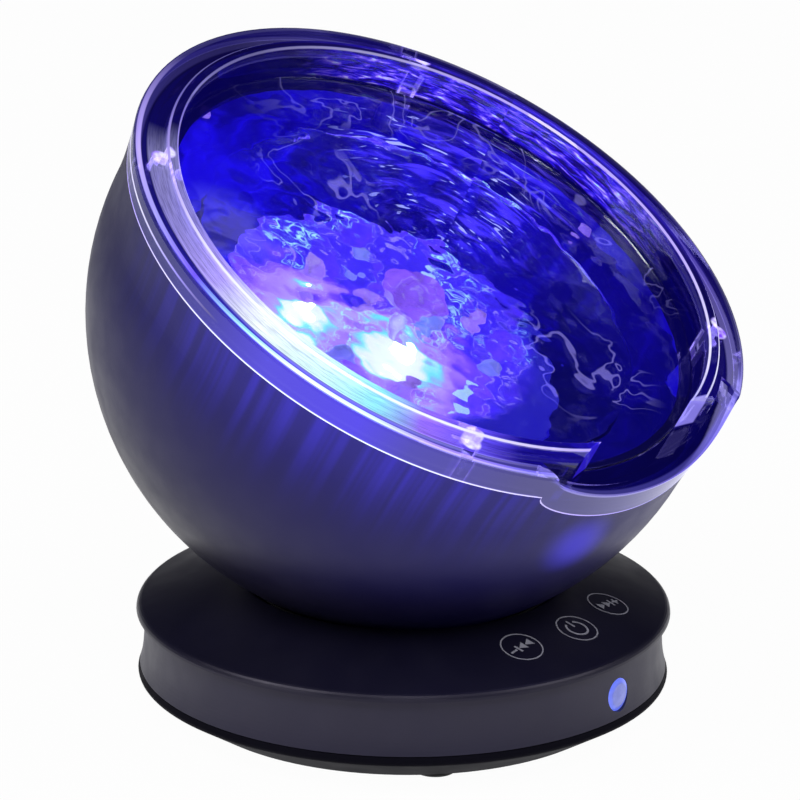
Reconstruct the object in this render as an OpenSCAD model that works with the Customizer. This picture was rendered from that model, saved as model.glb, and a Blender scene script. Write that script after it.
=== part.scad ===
// Ocean wave projector: a tilting ball lamp on a low round base.
// Millimetres, +Z up, front of the lamp towards -Y, z = 0 under the feet.
// Head pieces are drawn about the ball's centre, with +Z out through the clear
// cover, and head_place() tips them into the lamp.

/* [Head] */
// Radius of the ball below its centre
ball_r = 71; // [68:0.5:74]
// Height of the ball's lowest point above the table
ball_low = 20.5; // [19:0.5:23]
// Wall of the head shell
shell_wall = 2.4; // [2:0.1:3]
// Height of the shell's rim above the ball's centre
rim_h = 12.4; // [11:0.1:14]
// How far the bowl flares out at the rim
rim_flare = 1.45; // [0.8:0.05:2]
// Forward tilt in which the lamp is drawn, at the end of the slot
rest_tilt = 30; // [20:1:32]
// How far the head tips back from there
tilt_travel = 27; // [20:1:28]

/* [Clear cover] */
// Height of the cover's outer band
cover_h = 7.1; // [6:0.1:8.5]
// Wall of the clear cover
cover_wall = 2; // [1.6:0.1:2.4]
// Width of the ledge between the band's wall and the raised rib
ledge_w = 2.3; // [1.5:0.1:4]
// Width of the raised rib
rib_w = 2.7; // [2:0.1:3.2]
// Height of the rib above the ledge
rib_h = 2.2; // [1:0.1:3.5]
// How far the rim dips at the front scoop
scoop_depth = 7; // [5:0.1:8]
// Half width of the dip along the rim
scoop_half = 35.5; // [30:0.5:40]
// Radius of the shallow arc along which the scoop cuts rib and ledge
scoop_r = 140; // [100:5:200]
// Radius of the cover's pegs
peg_r = 2.2; // [1.6:0.1:2.6]
// Thickness of the rippled window
window_t = 1.8; // [1.4:0.1:2]
// Height of the window's ripples
window_ripple = 0.45; // [0.1:0.05:0.6]

/* [Wave drive] */
// Radius of the turning wave disc
disc_r = 52; // [46:0.5:56]
// Thickness of the wave disc
disc_t = 2.4; // [2:0.1:3]
// Height of the wave disc's ripples
disc_ripple = 0.8; // [0.2:0.05:1]
// Radius of the motor shaft
shaft_r = 1.5; // [1:0.1:2]
// Radius of the motor's gearbox
motor_r = 12; // [9:0.5:13]
// Depth of the light chamber below the ball's centre
chamber_depth = 11; // [9:0.5:13]
// Radius of the lamp board
lamp_board_r = 40; // [36:0.5:41]
// Radius of one lamp
lamp_r = 2.4; // [1.6:0.1:2.8]

/* [Base] */
// Outer radius of the base
base_r = 60; // [58:0.1:63]
// Height of the seam under the top cover
seam_z = 22; // [21:0.5:23]
// Wall of the base mouldings
base_wall = 2.2; // [1.8:0.1:2.6]
// Height of the joint between band and tray
tray_z = 9.2; // [8.5:0.1:10]
// Radius of the flat underside
floor_r = 49.3; // [48.5:0.1:52]
// How far the band is drawn in above the tray's brim
waist = 1.4; // [0.4:0.1:1.6]
// Radius of the ring where the top cover meets the ball
lip_r = 37; // [35.5:0.5:39]
// Radius of a rubber foot
foot_r = 5; // [4:0.1:6]
// Height of a rubber foot
foot_h = 1; // [0.8:0.1:2]
// Radius of the touch key ring on the top cover
key_ring = 47; // [44:0.5:50]
// Angle between neighbouring touch keys
key_step = 21; // [18:0.5:25]
// Radius of the receiver window
eye_r = 3.7; // [3:0.1:4.2]
// Radius of the audio plug's bore
audio_r = 1.8; // [1.5:0.05:2]
// Radius of the power plug's bore
power_r = 2.75; // [2.4:0.05:3]
// Radius of the speaker
speaker_r = 20; // [17:0.5:21]

/* [Tilt joint] */
// Outer radius of the hollow neck post
post_r = 3.5; // [3:0.1:4]
// Gap between the ball and its socket
socket_gap = 0.6; // [0.5:0.05:0.9]
// Radius of the saddle that clamps the shell from inside
saddle_r = 15; // [12:0.5:18]

/* [Hidden] */
$fn = 96;
fit = 0.1;            // clearance of pieces that are pushed together
run = 0.05;           // radial clearance of a turning shaft
clear = 0.35;         // clearance between pieces that slide past each other
bond = 0.6;           // overlap that fuses a feature to its own wall
far = 200;            // longer than anything that is cut

// Head shell and clear cover
ball_z = ball_low + ball_r;                 // the tilt axis
shell_in = ball_r - shell_wall;
cover_top = rim_h + cover_h;
dip_h = cover_top - scoop_depth;
skirt_in = ball_r - cover_wall;
skirt_edge = 1;
rib_r = skirt_in - ledge_w;
rib_in = rib_r - rib_w;
rib_edge = 0.5;
window_lift = 0.7;                          // window above the scoop's floor
window_top = dip_h + window_lift;
window_z = window_top - window_t;
window_wave_l = 17;
seat_t = 1.2;
seat_w = 2.4;
seat_z = window_z - seat_t;
scoop_in = 3.5;                             // how far that arc reaches in past the rib
scoop_y = rib_in - scoop_in + scoop_r;
shelf_h = 2.4;                              // shelf in the shell, under the light chamber
shelf_w = 3.4;
boss_r = 3.6;
boss_inset = 1.3;
boss_ring = shell_in - boss_inset;

// Light chamber and wave drive
flange_t = 1.6;
flange_w = 7.6;
boss_gap = 0.4;
boss_top = seat_z - boss_gap;
boss_z = flange_t + boss_gap;
chamber_wall = 1.6;
chamber_top = shell_in - flange_w;
chamber_floor = chamber_wall - chamber_depth;
chamber_gap = 2;
chamber_foot = lamp_board_r + chamber_gap;
shelf_screw_ring = shell_in - shelf_w / 2;
shelf_head_r = 1.65;
shelf_head_h = 1.2;
board_t = 1.6;
lamp_z = chamber_floor + board_t;
lamp_h = 2.6;
lamp_turn = 44;                             // angle of the first lamp
inner_ring_r = 9;
outer_ring_r = 23;
shaft_gap = 0.7;
disc_gap = 2.4;
disc_z = flange_t + disc_gap;
disc_wave_l = 26;
hub_r = 8;
hub_h = 1.2;
stem_wall = 2;
stem_h = 6;
cap_t = 1;                                  // hub left closed over the shaft's end
motor_drop = 5;
motor_top = -chamber_depth - motor_drop;
motor_h = 8;
can_inset = 2;
can_h = 10;
snout_wall = 2.5;
shaft_in = 5.5;
ear_t = 1;
ear_r = 3.5;
ear_gap = 1;
ear_x = motor_r + ear_r + ear_gap;
pillar_edge = 0.5;

// Base
socket_r = ball_r + socket_gap;
cup_wall = 2.4;
pad_t = 1;
pad_r = lip_r - 3 * pad_t;
pad_w = 6;
lip_z = ball_z - sqrt(socket_r * socket_r - lip_r * lip_r);
edge = 1.8;
edge_lean = 68;
dome_rise_h = 0.2;
band_step = 0.4;
band_r = base_r - band_step;
seam_gap = 0.5;
band_top = seam_z - seam_gap;
brim_drop = 1.3;                            // widest ring of the tray, below its joint
brim_z = tray_z - brim_drop;
brim_round = 1.2;
brim_lean = atan((band_r - floor_r) / (brim_z - foot_h));
band_in = band_r - waist - base_wall + fit;
spigot_h = 2.5;
step_w = 1;                                 // step in the band under the spigot's end
step_h = 2;
joint_gap = 0.2;
tray_spigot_h = 1.8;
floor_t = 2;
floor_z = foot_h + floor_t;
foot_edge = 0.5;
pillar_ring = 44;
pillar_r = 3.2;
pillar_seat_t = 1.7;
pillar_z = floor_z + pillar_seat_t;
screw_r = 1.3;
screw_head_r = 2.6;
screw_head_h = 1.6;
tray_screw_l = 9;
tray_screw_z = foot_h + screw_head_h;
board_lift = 5;
board_z = floor_z + board_lift;
board_gap = 4;
board_in = speaker_r + board_gap;
board_inset = 6.5;
board_r = band_in - board_inset;
board_top = board_z + board_t;
board_post_r = 2.5;
eye_drop = 1;
eye_z = (tray_z + band_top) / 2 - eye_drop;
eye_lip_w = 0.9;
eye_lip_t = 1;
eye_gap = 0.6;
eye_back = band_in - eye_gap - eye_lip_t;
foil_r = 5;
foil_t = 0.4;
foil_gap = 0.5;
jack_x = 12.5;
jack_l = 12;
jack_wall = 1.1;
jack_recess = 1.1;
jack_face = band_r - waist - jack_recess;
power_h = 7.7;
power_depth = 9.5;
power_pin_r = 0.65;
audio_h = 7;
audio_depth = 13;

// Speaker
speaker_lip_t = 1.2;
speaker_rim_w = 3;
basket_h = 5.5;
basket_t = 1;
coil_r = 4;
magnet_r = speaker_r * 0.55;
magnet_t = 4;
grille_r = 1;
grille_step = 4.6;

// Tilt joint
saddle_t = 2.5;
saddle_hub_h = 1.8;
saddle_out = shell_in - clear;
saddle_top = ball_z - saddle_out + saddle_t + saddle_hub_h;
spring_h = 4;
spring_t = 0.6;
nut_h = 4;
post_wall = 1.5;
post_flange_t = 2;
post_end_h = 1;
neck_drop = 0.7;
neck_seat = ball_z - socket_r - cup_wall - neck_drop;
neck_seat_t = 4;
slot_gap = 0.4;
slot_half = post_r + slot_gap;
slot_reach = 12.8;

// Placing

module head_place() {
    translate([0, 0, ball_z]) rotate([rest_tilt, 0, 0]) children();
}

// Copies about the vertical axis, at each angle of the list
module around(angles, r = 0) {
    for (a = angles) rotate([0, 0, a]) translate([0, -r, 0]) children();
}

corners = [45, 135, 225, 315];
quarters = [0, 90, 180, 270];

// Forms of the head

// Outer radius of the bowl at height h above the ball's centre
function bowl_r(h) = ball_r + rim_flare * pow(max(h, 0) / rim_h, 1.5);

// Height of the shell's rim across the front, which dips at the scoop
function rim_at(x) =
    rim_h - scoop_depth * sqrt(1 - pow(min(abs(x) / scoop_half, 1), 2.5));

function flare(top, gap) = [for (i = [0:8]) [bowl_r(top * i / 8) - gap, top * i / 8]];

// Bowl whose surface lies gap inside the outer one, open at height top
module bowl(gap, top) {
    intersection() {
        sphere(ball_r - gap, $fn = 144);
        translate([0, 0, -far]) cylinder(r = far, h = far);
    }
    rotate_extrude() polygon(concat([[0, top], [0, 0]], flare(top, gap)));
}

// Block across the front, from the dipping rim line raised by lift up to height top
module above_rim(lift, top) {
    steps = 32;
    line = [for (i = [0:steps]) let (x = -scoop_half * cos(180 * i / steps)) [x, rim_at(x) + lift]];
    rotate([90, 0, 0]) translate([0, 0, ball_r / 2]) linear_extrude(ball_r)
        polygon(concat(line, [[scoop_half, top], [-scoop_half, top]]));
}

module ring(r_in, r_out, z0, z1) {
    translate([0, 0, z0]) difference() {
        cylinder(r = r_out, h = z1 - z0);
        translate([0, 0, -1]) cylinder(r = r_in, h = z1 - z0 + 2);
    }
}

// Slot in which the neck post runs as the ball tips forward
module post_slot() {
    rotate([0, 90, 0]) rotate([0, 0, -rest_tilt]) rotate_extrude(angle = tilt_travel)
        translate([ball_r - slot_reach / 2, -slot_half]) square([slot_reach, 2 * slot_half]);
    for (a = [rest_tilt - tilt_travel, rest_tilt])
        rotate([-a, 0, 0]) translate([0, 0, -ball_r - slot_reach / 2])
            cylinder(r = slot_half, h = slot_reach);
}

function ripple(x, y, size) =
    (sin(360 * (x + 0.45 * y) / size + 70 * sin(360 * y / (2.3 * size)))
    + 0.8 * sin(360 * (0.5 * x - y) / (0.76 * size) + 60 * sin(360 * x / (1.9 * size)))
    + 0.5 * sin(360 * (x + y) / (0.47 * size))) / 2.3;

// Disc with a flat back at z0 and a rippled face about z1
module rippled_disc(r, z0, z1, height, size, rings, sides) {
    function at(i, j) = i == 0 ? 0 : 1 + (i - 1) * sides + j % sides;
    function fade(i) = i == rings ? 0 : 1;
    face = concat([[0, 0, z1 + height * ripple(0, 0, size)]], [
        for (i = [1:rings], j = [0:sides - 1])
            let (x = r * i / rings * cos(360 * j / sides), y = r * i / rings * sin(360 * j / sides))
                [x, y, z1 + height * fade(i) * ripple(x, y, size)]
    ]);
    back = [for (j = [0:sides - 1]) [r * cos(360 * j / sides), r * sin(360 * j / sides), z0]];
    low = len(face);
    polyhedron(concat(face, back, [[0, 0, z0]]), concat(
        [for (j = [0:sides - 1]) [0, at(1, j + 1), at(1, j)]],
        [for (i = [1:rings - 1], j = [0:sides - 1]) [at(i, j), at(i, j + 1), at(i + 1, j + 1)]],
        [for (i = [1:rings - 1], j = [0:sides - 1]) [at(i, j), at(i + 1, j + 1), at(i + 1, j)]],
        [for (j = [0:sides - 1]) [at(rings, j), at(rings, j + 1), low + (j + 1) % sides]],
        [for (j = [0:sides - 1]) [at(rings, j), low + (j + 1) % sides, low + j]],
        [for (j = [0:sides - 1]) [low + sides, low + j, low + (j + 1) % sides]]
    ));
}

// Screw along +Z with its head's underside at z = 0
module screw(length, head_r, head_h) {
    translate([0, 0, -head_h]) cylinder(r = head_r, h = head_h);
    cylinder(r = screw_r, h = length);
}

// Forms of the base

// Outline of the top cover's outside, from height bottom up to the ring at the ball
module dome_outline(bottom, inset = 0) {
    rim = [for (a = [0:edge_lean / 4:edge_lean])
        [base_r - edge + (edge - inset) * cos(a), seam_z + (edge - inset) * sin(a)]];
    start = rim[len(rim) - 1];
    top = [lip_r, lip_z - inset];
    skin = [for (i = [1:8]) let (u = i / 8)
        start + u * (top - start) + [0, 4 * dome_rise_h * u * (1 - u)]];
    polygon(concat([[0, bottom], [base_r - inset, bottom]], rim, skin, [[0, lip_z - inset]]));
}

// Height of the top cover's outside at radius r
function dome_z(r) =
    let (start = [base_r - edge + edge * cos(edge_lean), seam_z + edge * sin(edge_lean)],
        u = (start[0] - r) / (start[0] - lip_r))
    start[1] + u * (lip_z - start[1]) + 4 * dome_rise_h * u * (1 - u);

dome_slope = atan((dome_z(key_ring - 1) - dome_z(key_ring + 1)) / 2);

// Outer radius of the band at height z: nearly straight, then swept out towards the brim
function band_at(z) =
    band_r - waist * (1 - pow((band_top - z) / (band_top - brim_z), 3.5));

// Outline of the tray from its joint over the round brim and down to the flat underside
function tray_curve() =
    concat([[band_at(tray_z), tray_z - joint_gap]],
        [for (i = [0:4]) let (a = brim_lean * i / 4)
            [band_r - brim_round * (1 - cos(a)), brim_z - brim_round * sin(a)]],
        [[floor_r, foot_h]]);

// Pocket behind the band for the receiver window's lip, up to radius r
module eye_pocket(r) {
    translate([0, 0, eye_z]) rotate([90, 0, 0]) translate([0, 0, eye_back - base_wall])
        cylinder(r = eye_r + eye_lip_w + clear, h = r - eye_back + base_wall);
}

module ball_zone(r) {
    translate([0, 0, ball_z]) sphere(r, $fn = 144);
}

// Base pieces

module base_top() {
    color("#26262c") difference() {
        union() {
            difference() {
                rotate_extrude() dome_outline(seam_z);
                difference() {
                    translate([0, 0, -0.01]) rotate_extrude() dome_outline(seam_z, base_wall);
                    ball_zone(socket_r + cup_wall);
                }
            }
            intersection() {
                ball_zone(socket_r + cup_wall);
                cylinder(r = lip_r, h = lip_z);
            }
            // flat seat for the neck post
            translate([0, 0, neck_seat]) cylinder(r = 2.4 * post_r, h = neck_seat_t);
            // spigot that drops into the band
            ring(band_in - fit - base_wall, band_in - fit, seam_z - spigot_h, seam_z + base_wall);
            // screw pillars
            intersection() {
                rotate_extrude() dome_outline(0);
                around(corners, pillar_ring)
                    translate([0, 0, pillar_z]) cylinder(r = pillar_r, h = lip_z - pillar_z);
            }
        }
        ball_zone(socket_r);
        intersection() {
            ball_zone(socket_r + pad_t);
            ring(pad_r - pad_w - fit, pad_r + fit, neck_seat, lip_z);
        }
        cylinder(r = post_r + fit, h = far);
        around(corners, pillar_ring) translate([0, 0, tray_screw_z])
            cylinder(r = screw_r + run, h = tray_screw_l + 2 * screw_r);
    }
}

module base_band() {
    points = [for (i = [0:12]) let (z = tray_z + (band_top - tray_z) * i / 12) [band_at(z), z]];
    color("#3a3a42") difference() {
        union() {
            rotate_extrude() polygon(concat([[band_in, band_top], [band_in, tray_z]], points));
            // step that carries the top cover's spigot
            ring(band_in - base_wall - step_w, band_in + bond,
                seam_z - spigot_h - step_h, seam_z - spigot_h);
        }
        translate([0, 0, eye_z]) rotate([90, 0, 0]) cylinder(r = eye_r + fit, h = far);
        translate([jack_x, 0, board_top + power_h / 2]) rotate([-90, 0, 0])
            cylinder(r = power_r + jack_wall + fit, h = far);
        translate([-jack_x, 0, board_top + audio_h / 2]) rotate([-90, 0, 0])
            cylinder(r = audio_r + jack_wall + fit, h = far);
        eye_pocket(band_in - clear);
        around(corners, pillar_ring) cylinder(r = pillar_r + fit, h = far);
    }
}

module base_tray() {
    outside = tray_curve();
    low = tray_z - base_wall;
    spigot = [[band_in - fit, tray_z - joint_gap], [band_in - fit, tray_z + tray_spigot_h],
        [band_in - fit - base_wall, tray_z + tray_spigot_h], [band_in - fit - base_wall, low]];
    color("#1c1c21") difference() {
        union() {
            rotate_extrude() polygon(concat(
                [[0, foot_h]], [for (i = [len(outside) - 1:-1:0]) outside[i]],
                spigot, [[floor_r - base_wall, floor_z], [0, floor_z]]));
            around(corners, pillar_ring) translate([0, 0, foot_h])
                cylinder(r = pillar_r + step_w, h = pillar_z - foot_h);
            around(quarters, (board_in + board_r) / 2)
                translate([0, 0, floor_z - bond]) cylinder(r = board_post_r, h = board_z - floor_z + bond);
            ring(speaker_r + fit, speaker_r + base_wall, floor_z - bond, floor_z + speaker_lip_t + bond);
        }
        // gap in the spigot for the two jacks
        intersection() {
            translate([-jack_x - power_h, 0, board_z]) cube([2 * (jack_x + power_h), far, far]);
            cylinder(r = band_in, h = far);
        }
        eye_pocket(band_in);
        // speaker grille
        translate([0, 0, foot_h - floor_t / 2]) {
            cylinder(r = grille_r, h = 2 * floor_t, $fn = 24);
            for (k = [1:3])
                around([for (j = [0:6 * k - 1]) 60 * j / k], grille_step * k)
                    cylinder(r = grille_r, h = 2 * floor_t, $fn = 24);
        }
        around(corners, pillar_ring) {
            cylinder(r = screw_r + fit, h = far);
            cylinder(r = screw_head_r + fit, h = tray_screw_z);
        }
    }
}

module rubber_feet() {
    color("#111111") around(corners, pillar_ring) rotate_extrude()
        polygon([[0, 0], [foot_r - foot_edge, 0], [foot_r, foot_edge], [foot_r, foot_h], [0, foot_h]]);
}

module tray_screws() {
    color("silver") around(corners, pillar_ring)
        translate([0, 0, tray_screw_z]) screw(tray_screw_l, screw_head_r, screw_head_h);
}

module receiver_window() {
    nose = band_at(eye_z);
    color("#8fa0ff") translate([0, 0, eye_z]) rotate([90, 0, 0]) rotate_extrude()
        polygon([[0, eye_back], [eye_r + eye_lip_w, eye_back], [eye_r + eye_lip_w, eye_back + eye_lip_t],
            [eye_r, eye_back + eye_lip_t], [eye_r, nose - 2 * fit], [eye_r * 0.7, nose + 3 * fit],
            [0, nose + 5 * fit]]);
}

module ir_receiver() {
    front = eye_back - clear;
    lens_r = 2.2;
    case_w = 7;
    case_t = 3.5;
    color("#1a1a1a") {
        translate([-case_w / 2, -front + lens_r, board_top])
            cube([case_w, case_t, eye_z + case_w / 2 - board_top]);
        translate([0, -front + lens_r + bond, eye_z]) rotate([90, 0, 0])
            cylinder(r = lens_r, h = lens_r + bond);
    }
}

module control_board() {
    color("#1f5a36") difference() {
        ring(board_in, board_r, board_z, board_top);
        around(corners, pillar_ring) cylinder(r = pillar_r + pillar_edge, h = far);
    }
}

module touch_pads() {
    color("#c98a4b") around([-key_step, 0, key_step], key_ring)
        translate([0, 0, dome_z(key_ring)]) rotate([dome_slope, 0, 0])
            translate([0, 0, -base_wall - foil_gap - foil_t]) cylinder(r = foil_r, h = foil_t);
}

module power_jack() {
    bore_z = board_top + power_h / 2;
    box_y = sqrt(band_in * band_in - pow(jack_x + power_h / 2, 2)) - clear;
    color("#151518") translate([jack_x, 0, 0]) {
        difference() {
            union() {
                translate([-power_h / 2, box_y - jack_l, board_top]) cube([power_h, jack_l, power_h]);
                translate([0, box_y - bond, bore_z]) rotate([-90, 0, 0])
                    cylinder(r = power_r + jack_wall, h = jack_face - box_y + bond);
            }
            translate([0, jack_face - power_depth, bore_z]) rotate([-90, 0, 0])
                cylinder(r = power_r, h = far);
        }
        translate([0, jack_face - power_depth - bond, bore_z]) rotate([-90, 0, 0])
            cylinder(r = power_pin_r, h = power_depth - bond);
    }
}

module audio_jack() {
    bore_z = board_top + audio_h / 2;
    box_y = sqrt(band_in * band_in - pow(jack_x + audio_h / 2, 2)) - clear;
    color("#202024") translate([-jack_x, 0, 0]) difference() {
        union() {
            translate([-audio_h / 2, box_y - jack_l, board_top]) cube([audio_h, jack_l, audio_h]);
            translate([0, box_y - bond, bore_z]) rotate([-90, 0, 0])
                cylinder(r = audio_r + jack_wall, h = jack_face - box_y + bond);
        }
        translate([0, jack_face - audio_depth, bore_z]) rotate([-90, 0, 0])
            cylinder(r = audio_r, h = far);
    }
}

// Speaker, facing down onto the grille

module speaker_frame() {
    lip = floor_z + speaker_lip_t;
    top = floor_z + basket_h;
    r_in = speaker_r - speaker_rim_w;
    color("#5a5a60") rotate_extrude()
        polygon([[r_in, floor_z], [speaker_r, floor_z], [speaker_r, lip], [r_in + 2 * basket_t, lip],
            [magnet_r, top], [coil_r, top], [coil_r, top - basket_t], [magnet_r - basket_t, top - basket_t],
            [r_in, lip]]);
}

module speaker_cone() {
    t = 0.8 * basket_t;
    r_out = speaker_r - speaker_rim_w;
    cap = floor_z + 2 * speaker_lip_t;
    back = floor_z + basket_h - 2 * fit;
    color("#2e2e2e") rotate_extrude()
        polygon([[0, cap - t], [coil_r, cap - t], [r_out, floor_z + fit], [r_out, floor_z + fit + t],
            [coil_r, cap], [coil_r - 2 * fit, back], [0, back]]);
}

module speaker_magnet() {
    color("#8a8a90") translate([0, 0, floor_z + basket_h]) cylinder(r = magnet_r, h = magnet_t);
}

// Tilt joint: the shell is held between the pad below it and the saddle inside it

module socket_pad() {
    color("#3b3b3f") intersection() {
        difference() {
            ball_zone(socket_r + pad_t - run);
            ball_zone(ball_r + clear);
        }
        ring(pad_r - pad_w, pad_r, neck_seat, lip_z);
    }
}

module neck_post() {
    top = saddle_top + spring_h + nut_h + post_end_h;
    color("#b0b0b4") difference() {
        union() {
            translate([0, 0, neck_seat - post_flange_t]) cylinder(r = 2 * post_r, h = post_flange_t);
            translate([0, 0, neck_seat - bond]) cylinder(r = post_r, h = top - neck_seat + bond);
        }
        cylinder(r = post_r - post_wall, h = far);
    }
}

module tilt_saddle() {
    color("#d8d8d8") difference() {
        union() {
            intersection() {
                difference() {
                    ball_zone(saddle_out);
                    ball_zone(saddle_out - saddle_t);
                }
                cylinder(r = saddle_r, h = ball_z / 2);
            }
            intersection() {
                ball_zone(saddle_out);
                cylinder(r = 2.2 * post_r, h = saddle_top);
            }
        }
        cylinder(r = post_r + fit, h = far);
    }
}

module disc_springs() {
    r_in = post_r + 2 * fit;
    r_out = 2 * post_r;
    rise = spring_h / 2;
    color("#9a9aa0") for (k = [0:1]) translate([0, 0, saddle_top + rise]) mirror([0, 0, k])
        rotate_extrude() polygon([[r_in, rise - spring_t], [r_out, 0], [r_out, spring_t], [r_in, rise]]);
}

module clamp_nut() {
    color("#c8b060") translate([0, 0, saddle_top + spring_h]) difference() {
        cylinder(r = 2 * post_r, h = nut_h, $fn = 6);
        translate([0, 0, -bond]) cylinder(r = post_r + run, h = nut_h + 2 * bond);
    }
}

// Head pieces

module head_shell() {
    color("#1d1d33") head_place() difference() {
        union() {
            difference() {
                bowl(0, rim_h);
                bowl(shell_wall, rim_h + bond);
            }
            // shelf that carries the light chamber
            ring(shell_in - shelf_w, shell_in + bond, -shelf_h, 0);
            // sockets for the cover's pegs
            intersection() {
                bowl(shell_wall / 2, rim_h);
                around(corners, boss_ring) translate([0, 0, boss_z])
                    cylinder(r = boss_r, h = boss_top - boss_z);
            }
        }
        above_rim(0, rim_h + bond);
        post_slot();
        around(corners, boss_ring) translate([0, 0, boss_z - bond]) cylinder(r = peg_r + fit, h = far);
        around(quarters, shelf_screw_ring) translate([0, 0, -2 * shelf_h])
            cylinder(r = screw_r + run, h = 4 * shelf_h);
    }
}

// Outer band of the cover: it carries on the bowl's flare and follows the dip
module cover_skirt() {
    low = rim_h - scoop_depth;
    steps = 8;
    shoulder = cover_top - skirt_edge;
    side = [for (i = [0:steps]) let (h = low + (shoulder - low) * i / steps) [bowl_r(h), h]];
    r_top = bowl_r(cover_top);
    soft = 0.3 * skirt_edge;
    wall = concat(side, [[r_top - soft, cover_top - soft], [r_top - skirt_edge, cover_top],
        [skirt_in, cover_top], [skirt_in, low]]);
    difference() {
        union() {
            intersection() {
                rotate_extrude() polygon(wall);
                translate([0, 0, rim_h + fit]) cylinder(r = far, h = far);
            }
            intersection() {
                rotate_extrude() polygon(wall);
                above_rim(fit, cover_top);
            }
        }
        above_band();
    }
}

// What the dip leaves out above the band
module above_band() {
    difference() {
        above_rim(cover_h, cover_top + bond);
        cylinder(r = skirt_in - bond, h = far);
    }
}

// Room in front of the scoop's arc, moved in by grow
module scoop_zone(z0, z1, grow = 0) {
    translate([0, -scoop_y, z0]) cylinder(r = scoop_r + grow, h = z1 - z0);
}

module cover_rim() {
    top = cover_top + rib_h;
    rib = [[rib_in, seat_z], [rib_r, seat_z], [rib_r, top - rib_edge], [rib_r - rib_edge, top],
        [rib_in + rib_edge, top], [rib_in, top - rib_edge]];
    color([0.55, 0.6, 1, 0.6]) head_place() {
        cover_skirt();
        // ledge and rib, with the floor and the ends of the scoop that is cut into them
        difference() {
            union() {
                rotate_extrude() polygon(rib);
                ring(rib_r - bond, skirt_in + bond, cover_top - cover_wall, cover_top);
                intersection() {
                    ring(rib_in, skirt_in + bond, dip_h - cover_wall, cover_top);
                    scoop_zone(dip_h - cover_wall, cover_top, cover_wall);
                }
                around(corners, boss_ring)
                    translate([0, 0, boss_z + bond]) cylinder(r = peg_r, h = cover_top - boss_z - 2 * bond);
            }
            scoop_zone(dip_h, far);
            above_band();
        }
        // seat of the window
        ring(rib_in - seat_w, rib_r, seat_z, window_z);
    }
}

module wave_window() {
    color([0.5, 0.6, 1, 0.5]) head_place()
        rippled_disc(rib_in - fit, window_z, window_top - window_ripple, window_ripple,
            window_wave_l, 22, 72);
}

module light_chamber() {
    inside = [for (a = [0:10:90])
        [chamber_foot + (chamber_top - chamber_foot) * sin(a),
            chamber_floor + (flange_t - chamber_floor) * (1 - cos(a))]];
    outside = [for (a = [90:-10:0])
        [chamber_foot + (chamber_top + chamber_wall - chamber_foot) * sin(a),
            -chamber_depth + (flange_t + chamber_depth) * (1 - cos(a))]];
    color("#2a3c9c") head_place() difference() {
        union() {
            rotate_extrude() polygon(concat([[0, chamber_floor]], inside, outside, [[0, -chamber_depth]]));
            ring(chamber_top, shell_in - fit, 0, flange_t);
            for (x = [-ear_x, ear_x])
                translate([x, 0, motor_top])
                    cylinder(r = ear_r - pillar_edge, h = motor_drop + chamber_wall / 2);
        }
        around(corners, boss_ring) cylinder(r = boss_r + boss_gap, h = far);
        around(quarters, shelf_screw_ring) cylinder(r = screw_r + fit, h = far);
        translate([0, 0, -far]) cylinder(r = shaft_r + shaft_gap, h = 2 * far);
        for (x = [-ear_x, ear_x])
            translate([x, 0, motor_top - ear_t]) cylinder(r = screw_r + run, h = motor_drop);
    }
}

module chamber_screws() {
    color("silver") head_place() around(quarters, shelf_screw_ring)
        translate([0, 0, flange_t]) rotate([180, 0, 0])
            screw(flange_t + shelf_h, shelf_head_r, shelf_head_h);
}

module lamp_board() {
    color("#e8ecf4") head_place() ring(shaft_r + shaft_gap, lamp_board_r, chamber_floor, lamp_z);
}

// Lamps of colour number k: one by the shaft and three farther out, each colour in turn
module lamps(k) {
    inner = [inner_ring_r, lamp_turn + 120 * k];
    outer = [for (j = [0:2]) [outer_ring_r, lamp_turn + 40 * (k + 1) + 120 * j]];
    head_place() for (spot = concat([inner], outer))
        rotate([0, 0, spot[1]]) translate([-spot[0], 0, lamp_z]) rotate_extrude()
            polygon(concat([[0, 0], [lamp_r, 0]],
                [for (a = [0:15:90]) [lamp_r * cos(a), lamp_h + lamp_r * sin(a)]]));
}

module lamps_blue() {
    color("#4060ff") lamps(0);
}

module lamps_green() {
    color("#40d060") lamps(1);
}

module lamps_red() {
    color("#ff5040") lamps(2);
}

module gear_motor() {
    color("#b8bcc4") head_place() difference() {
        union() {
            translate([0, 0, motor_top - motor_h]) cylinder(r = motor_r, h = motor_h);
            translate([0, 0, motor_top - motor_h - can_h])
                cylinder(r = motor_r - can_inset, h = can_h + bond);
            translate([0, 0, motor_top - bond]) cylinder(r = shaft_r + snout_wall, h = motor_drop - bond);
            intersection() {
                translate([-ear_x - ear_r, -ear_r, motor_top - ear_t])
                    cube([2 * (ear_x + ear_r), 2 * ear_r, ear_t]);
                translate([0, 0, -far]) cylinder(r = ear_x + ear_r, h = far);
            }
        }
        translate([0, 0, motor_top - shaft_in - bond]) cylinder(r = shaft_r + run, h = far);
        for (x = [-ear_x, ear_x]) translate([x, 0, -far]) cylinder(r = screw_r + fit, h = far);
    }
}

module motor_screws() {
    color("silver") head_place() for (x = [-ear_x, ear_x])
        translate([x, 0, motor_top - ear_t])
            screw(ear_t + motor_drop - screw_r, 0.85 * screw_head_r, screw_r);
}

module motor_shaft() {
    bottom = motor_top - shaft_in;
    color("#d0d0d4") head_place() translate([0, 0, bottom])
        cylinder(r = shaft_r, h = disc_z - cap_t - bottom);
}

module disc_hub() {
    color([0.8, 0.85, 1, 0.8]) head_place() difference() {
        union() {
            translate([0, 0, disc_z - hub_h]) cylinder(r = hub_r, h = hub_h);
            translate([0, 0, disc_z - stem_h]) cylinder(r = shaft_r + stem_wall, h = stem_h);
        }
        translate([0, 0, disc_z - cap_t - stem_h]) cylinder(r = shaft_r, h = stem_h);
    }
}

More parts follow.
